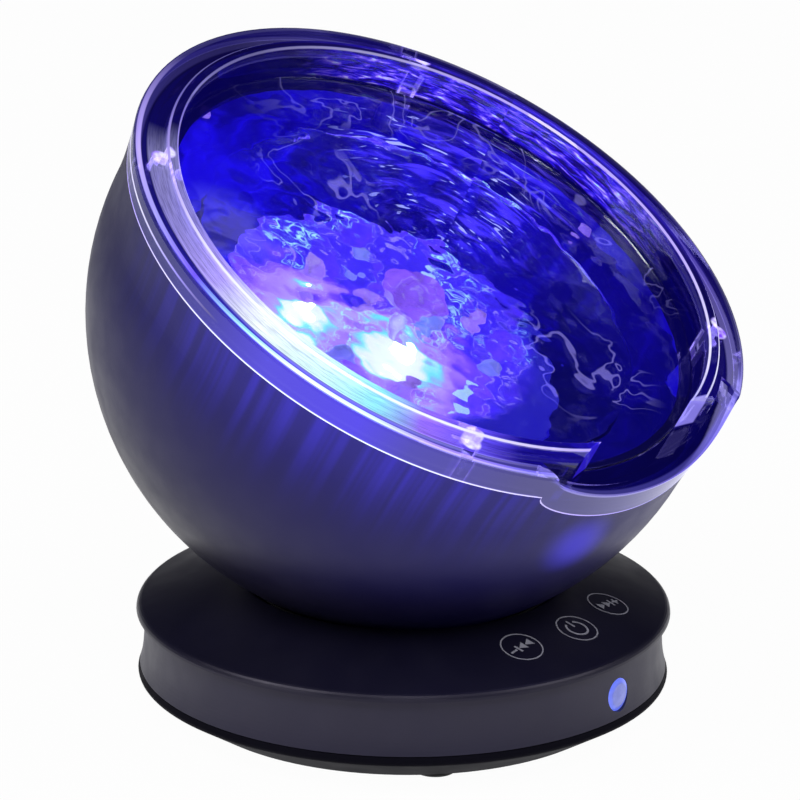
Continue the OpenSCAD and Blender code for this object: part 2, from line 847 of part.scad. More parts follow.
module wave_disc() {
    color([0.6, 0.7, 1, 0.6]) head_place()
        rippled_disc(disc_r, disc_z, disc_z + disc_t - disc_ripple, disc_ripple, disc_wave_l, 16, 64);
}

base_top();
base_band();
base_tray();
rubber_feet();
tray_screws();
receiver_window();
ir_receiver();
control_board();
touch_pads();
power_jack();
audio_jack();
speaker_frame();
speaker_cone();
speaker_magnet();
socket_pad();
neck_post();
tilt_saddle();
disc_springs();
clamp_nut();
head_shell();
cover_rim();
wave_window();
light_chamber();
chamber_screws();
lamp_board();
lamps_blue();
lamps_green();
lamps_red();
gear_motor();
motor_screws();
motor_shaft();
disc_hub();
wave_disc();
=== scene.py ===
"""Looks of the ocean wave projector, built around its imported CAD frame."""

import math

import bpy
from mathutils import Euler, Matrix, Quaternion, Vector, noise

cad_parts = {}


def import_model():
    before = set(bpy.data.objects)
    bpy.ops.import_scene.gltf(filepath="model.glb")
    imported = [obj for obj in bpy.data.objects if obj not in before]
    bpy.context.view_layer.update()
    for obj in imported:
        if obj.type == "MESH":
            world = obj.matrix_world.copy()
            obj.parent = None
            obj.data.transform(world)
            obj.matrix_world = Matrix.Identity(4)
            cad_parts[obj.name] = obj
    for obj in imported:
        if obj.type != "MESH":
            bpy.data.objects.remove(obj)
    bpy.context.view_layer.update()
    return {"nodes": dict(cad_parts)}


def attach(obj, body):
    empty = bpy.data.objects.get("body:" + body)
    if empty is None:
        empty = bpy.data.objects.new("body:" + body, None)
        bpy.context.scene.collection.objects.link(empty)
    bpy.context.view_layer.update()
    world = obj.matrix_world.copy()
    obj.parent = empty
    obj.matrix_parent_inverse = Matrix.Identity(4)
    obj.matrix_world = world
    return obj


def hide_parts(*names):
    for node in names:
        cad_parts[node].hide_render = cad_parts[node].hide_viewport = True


MM = 0.001

# The head's own frame: its origin is the ball's centre and +Z points out through the window
BALL_R = 71 * MM
BALL_CENTRE = Vector((0, 0, 91.5 * MM))
TILT = math.radians(30)
HEAD_TURN = Euler((TILT, 0, 0)).to_matrix()

# Bearing in the head's frame that faces the viewer of the photograph
NEAR_SIDE = math.radians(205)

# Rippled window and disc in the head's frame, with the height and the pattern of their ripples
WINDOW_R = 63.9 * MM
WINDOW_BOTTOM = 11.4 * MM
WINDOW_TOP = 13.2 * MM
WINDOW_FACE = (12.0 * MM, 12.3 * MM)
WINDOW_RIPPLE = 0.3 * MM
WINDOW_PATTERN = 1.7
DISC_R = 52 * MM
DISC_BOTTOM = 4.0 * MM
DISC_TOP = 6.4 * MM
DISC_RIPPLE = 0.4 * MM
DISC_PATTERN = 8.3
RIPPLE_RINGS = 100
RIPPLE_SIDES = 300
CALM_RINGS = 4

# Keeps the ripples the same in each run
RIPPLE_SEED = 1

# Clear rim in the head's frame: radii and heights over which one face gives way to the next
WALL_RADII = (70.6 * MM, 71.2 * MM)
TOP_RADII = (70.9 * MM, 70.4 * MM)
TOP_HEIGHTS = (18.6 * MM, 19.2 * MM)
BORE_RADII = (64.2 * MM, 64.05 * MM)
BORE_HEIGHTS = (13.3 * MM, 14 * MM)
RIB_EDGES = (64.25 * MM, 66.45 * MM)
RIB_HEIGHTS = (20.8 * MM, 21.2 * MM)
BRIM_R = 72.7 * MM
BRIM_LEVEL = 19.3 * MM
SEAM_LEVEL = 12.65 * MM
LIGHT_LINE_LEVEL = 15.9 * MM
LINE_HALF = 0.12 * MM
LINE_SOFT = 0.16 * MM

# Pegs of the clear rim in plan, in mm: how far each is from both middle lines, and its reach
PEG_OFF = 47.6
PEG_REACH = 2.7

# Zones of light on the window in plan, in mm: x, y and reach
LINE_ZONES = ((10, -38, 22), (-4, 32, 18))
HAZE_ZONE = (-41, 29, 17)
FAR_ZONE = (34, 18, 36)
GLINT_ZONE = (30, 20, 34)

# Dip of the cover's band over the front scoop, and the arc along which the scoop cuts the rib
DIP_DEPTH = 7 * MM
DIP_HALF = 35.5 * MM
DIP_POWER = 2.5
SCOOP_CENTRE = (0, -200.5 * MM, 0)
SCOOP_R = 140 * MM
SCOOP_HEIGHTS = (13 * MM, 13.6 * MM)
SCOOP_RADII = (67 * MM, 66.6 * MM)

# Painted light and shade on the shell, in the head's frame; BASE_SHADE alone is in heights over the table
SHELL_TOP = 12.4 * MM
SPILL_LOW = -34 * MM
HAZE_LOW = -54 * MM
HAZE_HIGH = 0.0
LIGHT_PATCH_PLACE = (-17 * MM, -68.5 * MM, -3 * MM)
BASE_SHADE = (36 * MM, 58 * MM)
INSIDE_RADII = (70.6 * MM, 70.3 * MM)
INSIDE_HEIGHTS = (-2 * MM, -1 * MM)

# The two lit lamps, and the middle of the lit board, in the head's frame
LAMP_NEAR = (-6.5 * MM, -6.3 * MM, -4 * MM)
LAMP_FAR = (-18.6 * MM, 13.5 * MM, -4 * MM)
BOARD_MIDDLE = (4 * MM, 9 * MM, -8 * MM)

# Receiver window in the side of the base
EYE_CENTRE = (0, -58.5 * MM, 14.35 * MM)

# Touch keys on the base: their places, and their drawings in mm
KEY_RING = 47 * MM
KEY_STEP = math.radians(21)
DOME_SLOPE = math.radians(16.6)
KEY_R = 4.7
KEY_LINE = 0.32
SIGN_LINE = 1.6 * KEY_LINE
INK_SINK = 0.05 * MM
INK_RISE = 0.06 * MM

# Camera, as fitted to the photograph
CAMERA_TURN = math.radians(-54.48)
CAMERA_RISE = math.radians(18.57)
CAMERA_ROLL = math.radians(0.61)
CAMERA_DISTANCE = 19.19 * BALL_R
AIM_HEIGHT = 70.5 * MM
AIM_RIGHT = -1.25 * MM
AIM_UP = 0.29 * MM
FOCUS_PX = 6128
FRAME_PX = 800
SENSOR_MM = 36

# Floor: brightness to the camera, and the distances over which its shine in gloss and glass fades
FLOOR_SIZE = 8
FLOOR_COLOUR = (0.86, 0.86, 0.87, 1)
FLOOR_WHITE = 0.975
FLOOR_BRIGHT = 0.25
FLOOR_DIM = 0.65
FLOOR_FAR = 0.2

# Studio round the object: upward parts of a direction, with the light that comes from there
HORIZON = (0.02, (0.3, 0.3, 0.33))
OVERHEAD = (0.26, (0.01, 0.01, 0.014))
PALE_BELOW = 0.12
PALE_SHARE = 0.4

# Soft lamps: place, aim, size in metres and power in watts
STUDIO_LAMPS = {
    "key": ((-1.1, 0.6, 1.2), (0, 0, 0.08), 0.9, 12),
    "fill": ((0.5, -1.2, 1.1), (0, 0, 0.06), 0.9, 8),
    "edge": ((-0.95, -0.8, 1.35), (0, 0, 0.05), 0.5, 7),
}

# Colours of the light
BLACK = (0.0, 0.0, 0.0)
NAVY = (0.003, 0.0015, 0.045)
DEEP_BLUE = (0.006, 0.002, 0.42)
VIOLET = (0.2, 0.06, 0.92)
LAVENDER = (0.47, 0.38, 0.95)
PALE = (0.78, 0.76, 0.98)
GREY = (0.3, 0.28, 0.48)
DUSK = (0.1, 0.09, 0.2)
CYAN = (0.3, 0.8, 1.0)
WHITE_BLUE = (0.88, 0.98, 1.0)
SPILL_BLUE = (0.06, 0.04, 1.0)
INNER_BLUE = (0.01, 0.002, 0.9)
SHADE_BLUE = (0.001, 0.0004, 0.028)

# Tint of the dark plastic's gloss
SHEEN = (0.88, 0.82, 1.0, 1)

# Painted light round the clear rim, by degrees from the near side: its outer wall, its top faces, the lines
# on its rib and seam, its brim and the painted line of light in its wall
WALL_GLOW = [
    (-180, NAVY), (-110, NAVY), (-80, (0.005, 0.004, 0.06)), (-45, (0.008, 0.006, 0.14)),
    (-32, (0.02, 0.014, 0.28)), (-18, (0.06, 0.04, 0.62)), (0, (0.06, 0.035, 0.72)),
    (10, (0.05, 0.038, 0.38)), (30, (0.045, 0.038, 0.19)), (45, (0.035, 0.03, 0.15)),
    (72, (0.035, 0.03, 0.19)), (85, (0.05, 0.04, 0.3)), (98, NAVY)]
TOP_GLOW = [
    (-180, (0.015, 0.008, 0.16)), (-120, (0.002, 0.001, 0.03)), (-80, (0.003, 0.002, 0.04)),
    (-70, (0.2, 0.19, 0.4)), (-50, (0.26, 0.23, 0.62)), (-36, (0.4, 0.32, 0.92)), (-24, WHITE_BLUE),
    (-10, (0.65, 0.97, 0.97)), (1, (0.28, 0.84, 0.96)), (10, (0.3, 0.15, 0.93)),
    (20, (0.13, 0.08, 0.9)), (30, (0.005, 0.002, 0.2)), (120, NAVY), (165, (0.03, 0.015, 0.4))]
LINE_GLOW = [
    (-180, LAVENDER), (-150, GREY), (-120, DUSK), (-90, (0.14, 0.12, 0.4)), (-62, LAVENDER),
    (-40, PALE), (-20, WHITE_BLUE), (4, WHITE_BLUE), (20, PALE), (45, LAVENDER),
    (70, (0.12, 0.1, 0.5)), (100, PALE), (130, LAVENDER)]
BRIM_GLOW = [
    (-180, DUSK), (-150, (0.02, 0.018, 0.05)), (-105, (0.03, 0.027, 0.09)), (-70, LAVENDER),
    (-52, (0.35, 0.33, 0.9)), (-38, (0.16, 0.09, 0.9)), (-24, (0.3, 0.75, 0.9)), (-12, WHITE_BLUE),
    (0, (0.73, 0.96, 0.98)), (12, (0.4, 0.27, 0.92)), (30, (0.17, 0.14, 0.78)),
    (45, (0.2, 0.18, 0.5)), (75, (0.12, 0.09, 0.5)), (90, (0.25, 0.22, 0.8)),
    (105, (0.03, 0.027, 0.09)), (150, (0.02, 0.018, 0.05))]
LIGHT_LINE_GLOW = [
    (-98, BLACK), (-85, LAVENDER), (-60, PALE), (-42, (0.3, 0.25, 0.9)), (-28, BLACK)]

# Light by strength, from 0 to 1: in the rim's bore, the chamber, the board, round the lamps and in
# the pegs
FLOW_GLOW = [
    (0.0, NAVY), (0.42, (0.006, 0.002, 0.12)), (0.52, (0.02, 0.006, 0.7)), (0.6, (0.16, 0.08, 0.95)),
    (0.66, LAVENDER), (0.72, CYAN)]
CHAMBER_GLOW = [
    (0.0, (0.0, 0.0, 0.05)), (0.2, (0.003, 0.0005, 0.22)), (0.5, (0.007, 0.0015, 0.6)),
    (0.8, (0.014, 0.004, 0.92)), (1.0, (0.05, 0.03, 1.0))]
BOARD_GLOW = [
    (0.0, (0.015, 0.004, 0.7)), (0.18, (0.05, 0.016, 0.92)), (0.32, (0.16, 0.05, 1.0)),
    (0.44, (0.32, 0.14, 1.0)), (0.6, (0.46, 0.28, 1.0)), (0.74, (0.48, 0.5, 1.0)),
    (0.8, (0.4, 0.9, 1.0)), (0.86, WHITE_BLUE)]
HALO_GLOW = [(0.0, (0.1, 0.4, 1.0)), (0.35, (0.18, 0.85, 1.0)), (0.65, WHITE_BLUE)]
PEG_GLOW = [(0.3, VIOLET), (0.5, LAVENDER), (0.68, PALE)]

# Strength of the chamber's light, by its share of a turn round the head
CHAMBER_SIDES = [(0.0, 0.8), (0.25, 1.0), (0.5, 1.0), (0.64, 0.42), (0.8, 0.22), (0.9, 0.42), (1.0, 0.8)]

# Light of the two cut ends of the rib, by their share of a turn
CUT_GLOW = [(0.66, (0.02, 0.01, 0.4)), (0.7, (0.2, 0.17, 0.6))]


def head_point(x, y, z):
    """A point of the head's frame, in metres, in the object's frame."""
    return BALL_CENTRE + HEAD_TURN @ Vector((x, y, z))


class Graph:
    """Shader nodes under construction."""

    def __init__(self, tree):
        self.tree = tree

    def add(self, kind, **settings):
        node = self.tree.nodes.new(kind)
        for key, value in settings.items():
            setattr(node, key, value)
        return node

    def feed(self, socket, value):
        """Link a socket to another, or give it a value."""
        if isinstance(value, bpy.types.NodeSocket):
            self.tree.links.new(value, socket)
        else:
            socket.default_value = value

    def math(self, operation, *values):
        node = self.add("ShaderNodeMath", operation=operation)
        for socket, value in zip(node.inputs, values):
            self.feed(socket, value)
        return node.outputs[0]

    def product(self, first, *others):
        for other in others:
            first = self.math("MULTIPLY", first, other)
        return first

    def apart(self, value, middle):
        """How far a value is from the middle."""
        return self.math("ABSOLUTE", self.math("SUBTRACT", value, middle))

    def object_coords(self):
        return self.add("ShaderNodeTexCoord").outputs["Object"]

    def head_coords(self):
        """Coordinates in the head's own frame, in metres."""
        node = self.add("ShaderNodeMapping", vector_type="TEXTURE")
        self.feed(node.inputs["Vector"], self.object_coords())
        node.inputs["Location"].default_value = BALL_CENTRE
        node.inputs["Rotation"].default_value = (TILT, 0, 0)
        return node.outputs[0]

    def split(self, vector):
        node = self.add("ShaderNodeSeparateXYZ")
        self.feed(node.inputs[0], vector)
        return node.outputs

    def combine(self, x, y, z):
        node = self.add("ShaderNodeCombineXYZ")
        for socket, value in zip(node.inputs, (x, y, z)):
            self.feed(socket, value)
        return node.outputs[0]

    def scaled(self, vector, factors):
        node = self.add("ShaderNodeVectorMath", operation="MULTIPLY")
        self.feed(node.inputs[0], vector)
        node.inputs[1].default_value = factors
        return node.outputs["Vector"]

    def distance(self, vector, point):
        node = self.add("ShaderNodeVectorMath", operation="DISTANCE")
        self.feed(node.inputs[0], vector)
        node.inputs[1].default_value = point
        return node.outputs["Value"]

    def noise(self, vector, scale, detail=2.0, rough=0.5, warp=0.0):
        node = self.add("ShaderNodeTexNoise")
        self.feed(node.inputs["Vector"], vector)
        node.inputs["Scale"].default_value = scale
        node.inputs["Detail"].default_value = detail
        node.inputs["Roughness"].default_value = rough
        node.inputs["Distortion"].default_value = warp
        return node.outputs["Fac"]

    def span(self, value, low, high, out_low=0.0, out_high=1.0, course="SMOOTHSTEP"):
        """Value mapped and clamped from one range to another."""
        node = self.add("ShaderNodeMapRange", interpolation_type=course)
        self.feed(node.inputs["Value"], value)
        for key, number in zip(("From Min", "From Max", "To Min", "To Max"), (low, high, out_low, out_high)):
            node.inputs[key].default_value = number
        return node.outputs["Result"]

    def ramp(self, value, stops):
        node = self.add("ShaderNodeValToRGB")
        self.feed(node.inputs["Fac"], value)
        points = node.color_ramp.elements
        while len(points) < len(stops):
            points.new(0.5)
        for point, (place, colour) in zip(points, stops):
            point.position = place
            point.color = (*colour, 1)
        return node.outputs["Color"]

    def mix(self, share, first, second, blend="MIX"):
        node = self.add("ShaderNodeMix", data_type="RGBA", blend_type=blend)
        self.feed(node.inputs["Factor"], share)
        for socket, value in ((node.inputs["A"], first), (node.inputs["B"], second)):
            self.feed(socket, value if isinstance(value, bpy.types.NodeSocket) else (*value, 1))
        return node.outputs["Result"]


class Finish(Graph):
    """A material under construction, with its Principled shader."""

    def __init__(self, name):
        self.material = bpy.data.materials.new(name)
        self.material.use_nodes = True
        super().__init__(self.material.node_tree)
        self.shader = self.tree.nodes["Principled BSDF"]
        self.output = self.tree.nodes["Material Output"]

    def set(self, **values):
        """Shader inputs by name, with underscores for spaces."""
        for key, value in values.items():
            self.feed(self.shader.inputs[key.replace("_", " ")], value)

    def bump(self, height, strength, distance):
        node = self.add("ShaderNodeBump")
        self.feed(node.inputs["Height"], height)
        node.inputs["Strength"].default_value = strength
        node.inputs["Distance"].default_value = distance
        self.feed(self.shader.inputs["Normal"], node.outputs["Normal"])


def satin_plastic(name, colour, rough):
    """Moulded plastic with a fine spark-eroded grain and faint wear in its gloss."""
    g = Finish(name)
    place = g.object_coords()
    patches = g.noise(place, 60, 3)
    lighter = tuple(1.35 * c for c in colour)
    g.set(Base_Color=g.mix(patches, colour, lighter))
    g.set(Roughness=g.span(g.noise(place, 130, 4), 0.2, 0.8, rough - 0.05, rough + 0.05))
    g.set(Specular_Tint=SHEEN)
    g.bump(g.noise(place, 1900, 2), 0.12, 0.12 * MM)
    return g


def clear_plastic(name, tint, rough=0.02, ior=1.47):
    """Clear plastic with faint cloudiness in its gloss."""
    g = Finish(name)
    g.set(Base_Color=(*tint, 1), Transmission_Weight=1.0, IOR=ior)
    g.set(Roughness=g.span(g.noise(g.object_coords(), 300, 3), 0.3, 0.8, rough, rough + 0.03))
    return g


def plain_finish(name, colour, rough, metal=0.0, scale=400):
    """Finish of a piece inside the casing: a colour with mottle and a little tooth."""
    g = Finish(name)
    place = g.object_coords()
    mottle = g.noise(place, scale, 3)
    darker = tuple(0.75 * c for c in colour)
    g.set(Base_Color=g.mix(mottle, darker, colour), Metallic=metal)
    g.set(Roughness=g.span(mottle, 0.2, 0.8, rough - 0.06, rough + 0.06))
    g.bump(g.noise(place, 4 * scale, 2), 0.1, 0.08 * MM)
    return g


def rim_place(g, head):
    """Distance from the head's axis, turn from the near side (0.5 there, 0 to 1 round) and height."""
    turned = g.add("ShaderNodeMapping", vector_type="TEXTURE")
    g.feed(turned.inputs["Vector"], head)
    turned.inputs["Rotation"].default_value = (0, 0, NEAR_SIDE)
    x, y, z = g.split(turned.outputs[0])
    radius = g.math("SQRT", g.math("ADD", g.math("MULTIPLY", x, x), g.math("MULTIPLY", y, y)))
    turn = g.math("MULTIPLY_ADD", g.math("ARCTAN2", y, x), 1 / math.tau, 0.5)
    return radius, turn, z


def along_rim(g, turn, stops):
    """Colour by the turn round the head, from stops in degrees from the near side."""
    return g.ramp(turn, [(0.5 + angle / 360, colour) for angle, colour in stops])


def band(g, value, middle, half, soft):
    """1 within half of the middle, falling to 0 over soft."""
    return g.span(g.apart(value, middle), half + soft, half)


def caustics(g, place, scale, width):
    """Thin bright wandering lines, as light makes under water."""
    wander = g.noise(place, scale, 2, 0.55, 0.9)
    return g.span(g.apart(wander, 0.5), width, 0.0)


def spot(g, flat, x, y, reach, core):
    """1 within a core share of the reach round a place in plan, in mm, falling to 0 at reach."""
    return g.span(g.distance(flat, (x * MM, y * MM, 0)), reach * MM, core * reach * MM)


def lit_shell():
    """Shell plastic, with the blue light that spills over the rim near the lamps."""
    g = satin_plastic("shell_satin", (0.0045, 0.0038, 0.016), 0.42)
    g.set(Specular_IOR_Level=0.3)
    head = g.head_coords()
    radius, turn, height = rim_place(g, head)
    rays = g.add("ShaderNodeTexNoise", noise_dimensions="1D")
    g.feed(rays.inputs["W"], turn)
    rays.inputs["Scale"].default_value = 110
    streaks = g.span(rays.outputs["Fac"], 0.35, 0.7, 0.35, 1.0)
    below_rim = g.math("POWER", g.span(height, SPILL_LOW, SHELL_TOP), 4.6)
    spill = g.product(below_rim, g.span(g.apart(turn, 0.49), 0.17, 0.02), streaks)
    # Painted patch of light on the shell below the scoop
    mark = g.span(g.distance(head, LIGHT_PATCH_PLACE), 11 * MM, 1 * MM)
    # Painted blue glow on the near side of the shell, dimmed towards the base by painted shade
    faced = g.span(g.apart(turn, 0.54), 0.36, 0.1)
    above_base = g.span(g.split(g.object_coords())[2], *BASE_SHADE, 0.2, 1.0)
    glow_haze = g.product(g.span(height, HAZE_LOW, HAZE_HIGH), faced, above_base, 0.07)
    outside = g.math("ADD", g.math("MULTIPLY_ADD", spill, 0.38, glow_haze), g.math("MULTIPLY", mark, 0.4))
    walled = g.math("MULTIPLY", g.span(radius, *INSIDE_RADII), g.span(height, *INSIDE_HEIGHTS))
    clouds = g.span(g.noise(head, 50, 3), 0.3, 0.7, 0.2, 0.6)
    g.set(Emission_Color=g.mix(walled, SPILL_BLUE, INNER_BLUE))
    g.set(Emission_Strength=g.math("ADD", g.product(clouds, walled), outside))
    return g


def lit_chamber():
    """Bowl round the lamps: deep blue light in clouds and slanting streaks."""
    g = Finish("chamber_light")
    head = g.head_coords()
    radius, turn, _ = rim_place(g, head)
    clouds = g.noise(head, 34, 4, 0.6, 0.5)
    slant = g.noise(g.scaled(head, (1.0, 3.2, 1.0)), 60, 3, 0.6, 0.7)
    side = g.ramp(turn, [(place, (share,) * 3) for place, share in CHAMBER_SIDES])
    level = g.math("ADD", g.span(clouds, 0.3, 0.75, 0.15, 0.75), g.span(slant, 0.45, 0.8, 0.0, 0.4))
    outer = g.span(radius, 66 * MM, 60 * MM, 0.75, 1.0)
    g.set(Base_Color=(0.002, 0.002, 0.01, 1), Roughness=0.5, Specular_IOR_Level=0.05)
    g.set(Emission_Color=g.ramp(g.product(level, side, outer), CHAMBER_GLOW), Emission_Strength=1.3)
    return g


def lit_board():
    """Lamp board: violet light that whitens towards the two lit lamps, with caustic flecks."""
    g = Finish("lamp_board_light")
    head = g.head_coords()
    to_near = g.distance(head, LAMP_NEAR)
    to_far = g.distance(head, LAMP_FAR)
    patches = g.noise(head, 95, 4, 0.6, 0.9)
    near = g.math("MAXIMUM", g.span(to_near, 27 * MM, 4 * MM),
                  g.math("MULTIPLY", g.span(to_far, 24 * MM, 4 * MM), 0.95))
    core = g.math("MAXIMUM", g.span(to_near, 14 * MM, 4 * MM), g.span(to_far, 10.5 * MM, 3.5 * MM))
    level = g.math("MULTIPLY_ADD", patches, 0.55, g.math("MULTIPLY_ADD", near, 0.58, -0.1))
    flecks = g.product(caustics(g, head, 170, 0.03), g.span(g.noise(head, 60, 2), 0.45, 0.6))
    veins = g.product(caustics(g, head, 95, 0.016), 0.6)
    edge = g.span(g.distance(head, BOARD_MIDDLE), 41 * MM, 34 * MM)
    lit = g.mix(flecks, g.mix(veins, g.ramp(level, BOARD_GLOW), LAVENDER), (0.45, 0.95, 1.0))
    lit = g.mix(g.span(g.math("MULTIPLY", core, patches), 0.04, 0.2), lit, g.ramp(core, HALO_GLOW))
    g.set(Base_Color=(0.05, 0.05, 0.1, 1), Roughness=0.6)
    g.set(Emission_Color=g.mix(edge, DEEP_BLUE, lit), Emission_Strength=1.3)
    return g


def lit_lamps():
    """Blue lamps: the two that shine in the photograph are white-hot."""
    g = Finish("lamp_lit")
    head = g.head_coords()
    near = g.math("MINIMUM", g.distance(head, LAMP_NEAR), g.distance(head, LAMP_FAR))
    g.set(Base_Color=(0.2, 0.4, 1.0, 1), Roughness=0.2)
    g.set(Emission_Color=(0.6, 0.92, 1.0, 1), Emission_Strength=g.span(near, 9 * MM, 4 * MM, 0.8, 8.0))
    return g


def bathed(name, colour, light, strength):
    """A pale piece by the lamps, which takes on their light in soft patches with fine lines."""
    g = plain_finish(name, colour, 0.3)
    head = g.head_coords()
    patches = g.span(g.noise(head, 260, 3), 0.3, 0.7, 0.6 * strength, strength)
    veins = g.product(caustics(g, head, 150, 0.03), 0.7)
    g.set(Emission_Color=g.mix(veins, light, LAVENDER), Emission_Strength=patches)
    return g


def lit_eye():
    """Receiver window: a painted pale blue glow in uneven patches, with a deeper blue ring at its edge."""
    g = Finish("eye_light")
    place = g.object_coords()
    ring = g.span(g.distance(place, EYE_CENTRE), 2.2 * MM, 3.4 * MM)
    glow_patches = g.span(g.noise(place, 700, 2), 0.3, 0.7, 0.85, 1.1)
    g.set(Base_Color=(0.1, 0.12, 0.4, 1), Roughness=0.3, Coat_Weight=0.3)
    g.set(Emission_Color=g.mix(ring, (0.12, 0.14, 0.4), (0.1, 0.15, 0.8)), Emission_Strength=glow_patches)
    return g


def lit_window():
    """Clear rippled window, with the light that its ripples catch on the way out."""
    g = clear_plastic("window_clear", (0.92, 0.94, 1.0))
    head = g.head_coords()
    flat = g.scaled(head, (1.0, 1.0, 0.0))
    radius, turn, height = rim_place(g, head)
    upper = g.span(height, *WINDOW_FACE)
    outline = g.span(g.apart(g.noise(flat, 55, 2, 0.5, 1.2), 0.47), 0.016, 0.006)
    zones = g.math("MAXIMUM", *[spot(g, flat, *zone, 0.5) for zone in LINE_ZONES])
    far = g.product(g.span(radius, 45 * MM, 50 * MM), g.span(g.apart(turn, 0.5), 0.3, 0.4))
    lines = g.product(outline, g.math("MAXIMUM", zones, g.product(far, 0.7)))
    clouds = g.span(g.noise(flat, 120, 2, 0.5, 1.0), 0.4, 0.55, 0.35, 1.0)
    glow_haze = g.product(spot(g, flat, *HAZE_ZONE, 0.3), clouds)
    around = g.combine(g.product(turn, 7.0), g.product(radius, 120.0), 0.0)
    streak = g.span(g.noise(around, 2.6, 3, 0.5, 0.8), 0.48, 0.66)
    lit_far = g.product(spot(g, flat, *FAR_ZONE, 0.4), streak)
    sparks = g.span(g.noise(around, 5.0, 1, 0.5, 0.8), 0.65, 0.7)
    glints = g.product(sparks, spot(g, flat, *GLINT_ZONE, 0.4))
    colour = g.mix(lit_far, g.mix(glow_haze, BLACK, (0.06, 0.055, 0.2)), (0.06, 0.035, 0.85))
    colour = g.mix(lines, g.mix(glints, colour, (0.4, 0.45, 1.0)), (0.12, 0.105, 0.3))
    g.set(Emission_Color=colour, Emission_Strength=upper)
    return g


def dip_level(g, head, height):
    """Height with the front dip of the cover's band taken out."""
    x, y, _ = g.split(head)
    across = g.math("MINIMUM", g.math("DIVIDE", g.math("ABSOLUTE", x), DIP_HALF), 1.0)
    depth = g.math("SQRT", g.math("SUBTRACT", 1.0, g.math("POWER", across, DIP_POWER)))
    front = g.math("LESS_THAN", y, 0.0)
    return g.math("ADD", height, g.product(depth, front, DIP_DEPTH))


def lit_rim():
    """Clear rim: light from the lamps runs round its wall, top, rib, edges and pegs."""
    g = clear_plastic("clear_rim", (0.03, 0.027, 0.08))
    g.set(Specular_IOR_Level=0.25)
    head = g.head_coords()
    radius, turn, height = rim_place(g, head)
    level = dip_level(g, head, height)
    flat = g.scaled(head, (1.0, 1.0, 0.0))

    # Outer wall, with a painted line of light in it, and top faces, their painted light smeared along their
    # length
    on_wall = g.span(radius, *WALL_RADII)
    on_top = g.product(g.span(radius, *TOP_RADII), g.span(height, *TOP_HEIGHTS))
    run = g.combine(g.product(turn, 14.0), g.product(radius, 700.0), g.product(height, 500.0))
    smear = g.span(g.noise(run, 5.0, 3, 0.6, 0.5), 0.36, 0.6, 0.62, 1.0)
    wall = g.mix(on_wall, SHADE_BLUE, along_rim(g, turn, WALL_GLOW))
    glow = g.mix(on_top, wall, g.mix(smear, NAVY, along_rim(g, turn, TOP_GLOW)))
    # Painted line of light running in the outer wall
    light_line = g.product(band(g, level, LIGHT_LINE_LEVEL, 0.15 * MM, 0.3 * MM), on_wall)
    glow = g.mix(light_line, glow, along_rim(g, turn, LIGHT_LINE_GLOW), "LIGHTEN")

    # Flowing light in the far side of the bore
    inner = g.product(g.span(radius, *BORE_RADII), g.span(height, *BORE_HEIGHTS))
    far_side = g.span(g.apart(turn, 0.5), 0.36, 0.44)
    flow = g.noise(g.combine(g.product(turn, 30.0), g.product(height, 420.0), 0.0), 2.2, 4, 0.6, 0.6)
    glow = g.mix(g.product(inner, far_side), glow, g.ramp(flow, FLOW_GLOW))

    # Cut ends of the rib and the four pegs
    cut = g.product(band(g, g.distance(flat, SCOOP_CENTRE), SCOOP_R, 0.1 * MM, 0.3 * MM),
                    g.span(height, *SCOOP_HEIGHTS), g.span(radius, *SCOOP_RADII))
    glow = g.mix(cut, glow, g.ramp(turn, CUT_GLOW))
    fold = g.add("ShaderNodeVectorMath", operation="ABSOLUTE")
    g.feed(fold.inputs[0], flat)
    peg = spot(g, fold.outputs["Vector"], PEG_OFF, PEG_OFF, PEG_REACH, 0.75)
    glow = g.mix(peg, glow, g.ramp(g.noise(head, 420, 2), PEG_GLOW))

    # Brim, and thin lines on the rib's edges and the seam
    brim = g.product(band(g, radius, BRIM_R, 0.4 * MM, 0.3 * MM),
                     band(g, level, BRIM_LEVEL, 0.2 * MM, 0.2 * MM))
    glow = g.mix(brim, glow, along_rim(g, turn, BRIM_GLOW))
    crest = g.math("MAXIMUM", *[band(g, radius, edge, LINE_HALF, LINE_SOFT) for edge in RIB_EDGES])
    crest = g.product(crest, g.span(height, *RIB_HEIGHTS))
    seam = g.product(band(g, level, SEAM_LEVEL, LINE_HALF, LINE_SOFT), on_wall)
    glow = g.mix(g.math("MAXIMUM", crest, seam), glow, along_rim(g, turn, LINE_GLOW))
    g.set(Emission_Color=glow, Emission_Strength=1.1)
    return g


def print_ink():
    """Worn pale ink of the touch keys."""
    g = Finish("key_ink")
    worn = g.noise(g.object_coords(), 900, 3)
    g.set(Base_Color=g.mix(worn, (0.26, 0.26, 0.31), (0.42, 0.42, 0.5)), Roughness=0.5)
    return g


